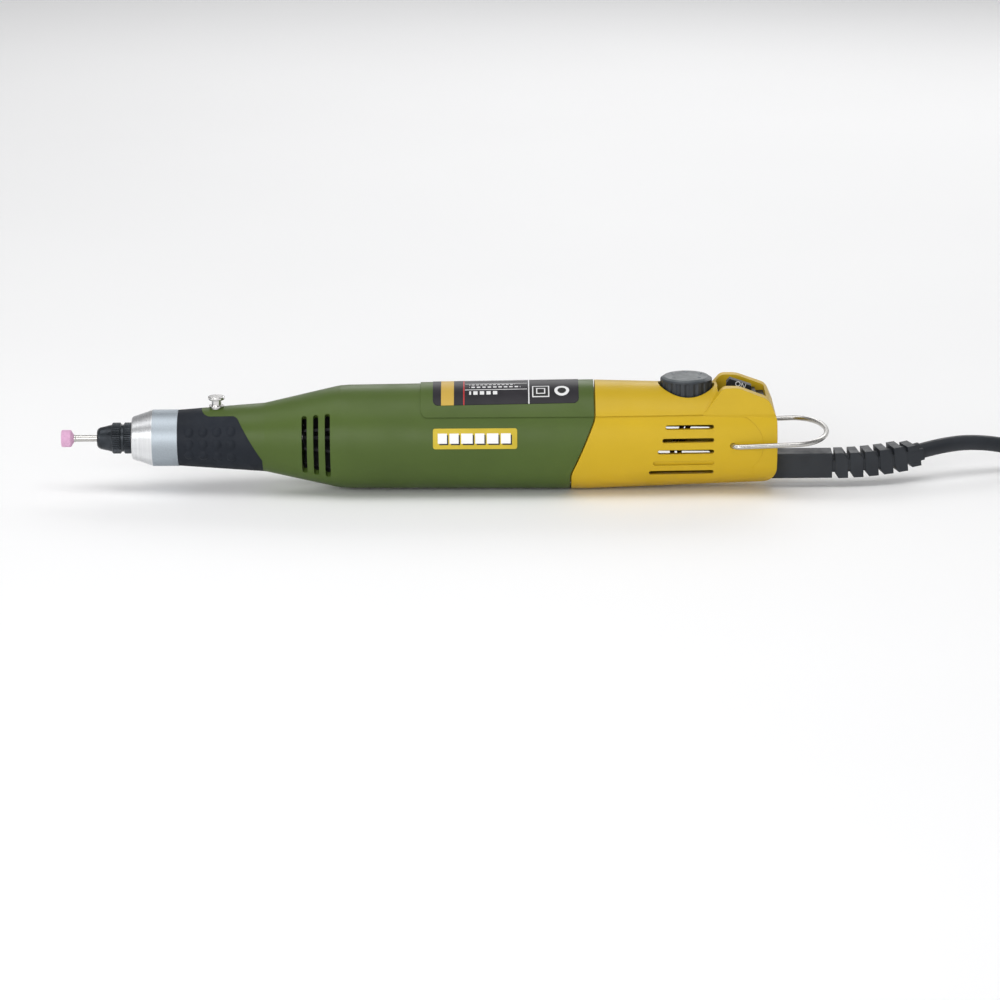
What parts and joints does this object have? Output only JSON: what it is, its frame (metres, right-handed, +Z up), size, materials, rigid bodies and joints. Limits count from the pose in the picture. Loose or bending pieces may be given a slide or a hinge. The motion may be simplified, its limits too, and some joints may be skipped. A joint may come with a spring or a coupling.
{
  "type": "rotary hobby tool",
  "caption": "Corded rotary hobby tool: collet nose with a small grinding bit, rubber grip, barrel housing, rear cover with speed dial, slide switch and hanging bail.",
  "frame": {"origin": "on the surface that the tool lies on, below the middle of the tool's length (stone tip to strain relief end) and below its spindle axis", "axes": "+X along the spindle from the bit to the cord, +Y to the tool's far side, +Z up through the speed dial and the spindle lock button"},
  "size_m": [0.4702, 0.0614, 0.0402],
  "materials": {
    "steel_bright": "bright ground steel",
    "steel_black": "blackened steel",
    "abrasive": "sintered pink abrasive",
    "collar_aluminium": "turned aluminium",
    "grip_rubber": "matt moulded rubber",
    "housing_green": "satin moulded plastic",
    "cover_yellow": "satin moulded plastic",
    "control_black": "satin moulded plastic",
    "label_print": "printed film",
    "badge_print": "printed film",
    "chrome": "polished chrome",
    "copper": "enamelled copper",
    "bronze": "sintered bronze",
    "magnet": "sintered ferrite",
    "laminated_steel": "stacked laminations",
    "zinc_steel": "zinc plated",
    "inner_plastic": "moulded plastic",
    "board": "fibreglass board",
    "carbon": "carbon",
    "wire_insulation": "insulated wire",
    "cord_black": "soft sheath",
    "aluminium_part": "machined aluminium"
  },
  "bodies": {
    "housing": {"front_collar": "collar_aluminium", "bearing_outer_rings": "steel_bright", "bearing_balls": "chrome", "grip_sleeve": "grip_rubber", "motor_housing": "housing_green", "rating_label": "label_print", "badge_plate": "badge_print", "lock_bush": "chrome", "lock_spring": "steel_bright", "motor_front_plate": "zinc_steel", "motor_can": "zinc_steel", "magnets": "magnet", "motor_bushes": "bronze", "brush_plate": "inner_plastic", "brush_holders": "bronze", "brushes": "carbon", "brush_springs": "steel_bright", "motor_mount_rings": "grip_rubber", "rear_cover_front_half": "cover_yellow", "rear_cover_back_half": "cover_yellow", "cover_screws": "zinc_steel", "dial_potentiometer": "inner_plastic", "slide_switch_body": "inner_plastic", "circuit_board": "board", "triac": "inner_plastic", "capacitor": "inner_plastic", "choke": "laminated_steel", "lead_wires": "wire_insulation", "cord_inner_end": "cord_black", "cord_clamp": "inner_plastic", "clamp_saddle": "cover_yellow", "clamp_screws": "zinc_steel", "strain_relief": "cord_black", "power_cord": "cord_black", "power_cord_hank": "cord_black", "plug_lead": "cord_black", "cord_tie": "inner_plastic", "plug_body": "cord_black", "plug_pins": "steel_bright"},
    "rotor": {"spindle": "steel_bright", "bearing_inner_rings": "steel_bright", "shaft_coupling": "aluminium_part", "cooling_fan": "inner_plastic", "armature_core": "laminated_steel", "armature_windings": "copper", "commutator": "copper", "motor_shaft": "steel_bright"},
    "collet_body": {"collet": "steel_bright"},
    "nut": {"collet_nut": "steel_black"},
    "bit": {"bit_shank": "steel_bright", "abrasive_stone": "abrasive"},
    "spindle_lock": {"lock_button": "chrome"},
    "dial": {"speed_dial": "control_black"},
    "switch": {"switch_knob": "control_black"},
    "bail": {"hanging_bail": "steel_bright"}
  },
  "joints": [
    {"name": "spindle_turn", "type": "hinge", "parent": "housing", "child": "rotor", "pos_m": [-0.11301, 0, 0.01905], "axis": [1, 0, 0], "continuous": true},
    {"name": "collet_feed", "type": "slide", "parent": "rotor", "child": "collet_body", "axis": [-1, 0, 0], "range_m": [0, 0.00075]},
    {"name": "nut_turn", "type": "hinge", "parent": "collet_body", "child": "nut", "pos_m": [-0.13301, 0, 0.01905], "axis": [-1, 0, 0], "range_deg": [0, 360]},
    {"name": "bit_slide", "type": "slide", "parent": "collet_body", "child": "bit", "axis": [-1, 0, 0], "range_m": [0, 0.028]},
    {"name": "lock_press", "type": "slide", "parent": "housing", "child": "spindle_lock", "axis": [0, 0, -1], "range_m": [0, 0.002], "stiffness_N_per_m": 600, "springref_m": -0.001, "deforming": ["lock_spring"]},
    {"name": "dial_turn", "type": "hinge", "parent": "housing", "child": "dial", "pos_m": [0.06799, 0, 0.03605], "axis": [0, 0, 1], "range_deg": [-140, 140]},
    {"name": "switch_slide", "type": "slide", "parent": "housing", "child": "switch", "axis": [-1, 0, 0], "range_m": [0, 0.003]},
    {"name": "bail_swing", "type": "hinge", "parent": "housing", "child": "bail", "pos_m": [0.08379, 0, 0.01885], "axis": [0, -1, 0], "range_deg": [-9, 120]}
  ],
  "couplings": [
    {"joint": "nut_turn", "follows": "collet_feed", "rad_per_m": 8377.6}
  ]
}
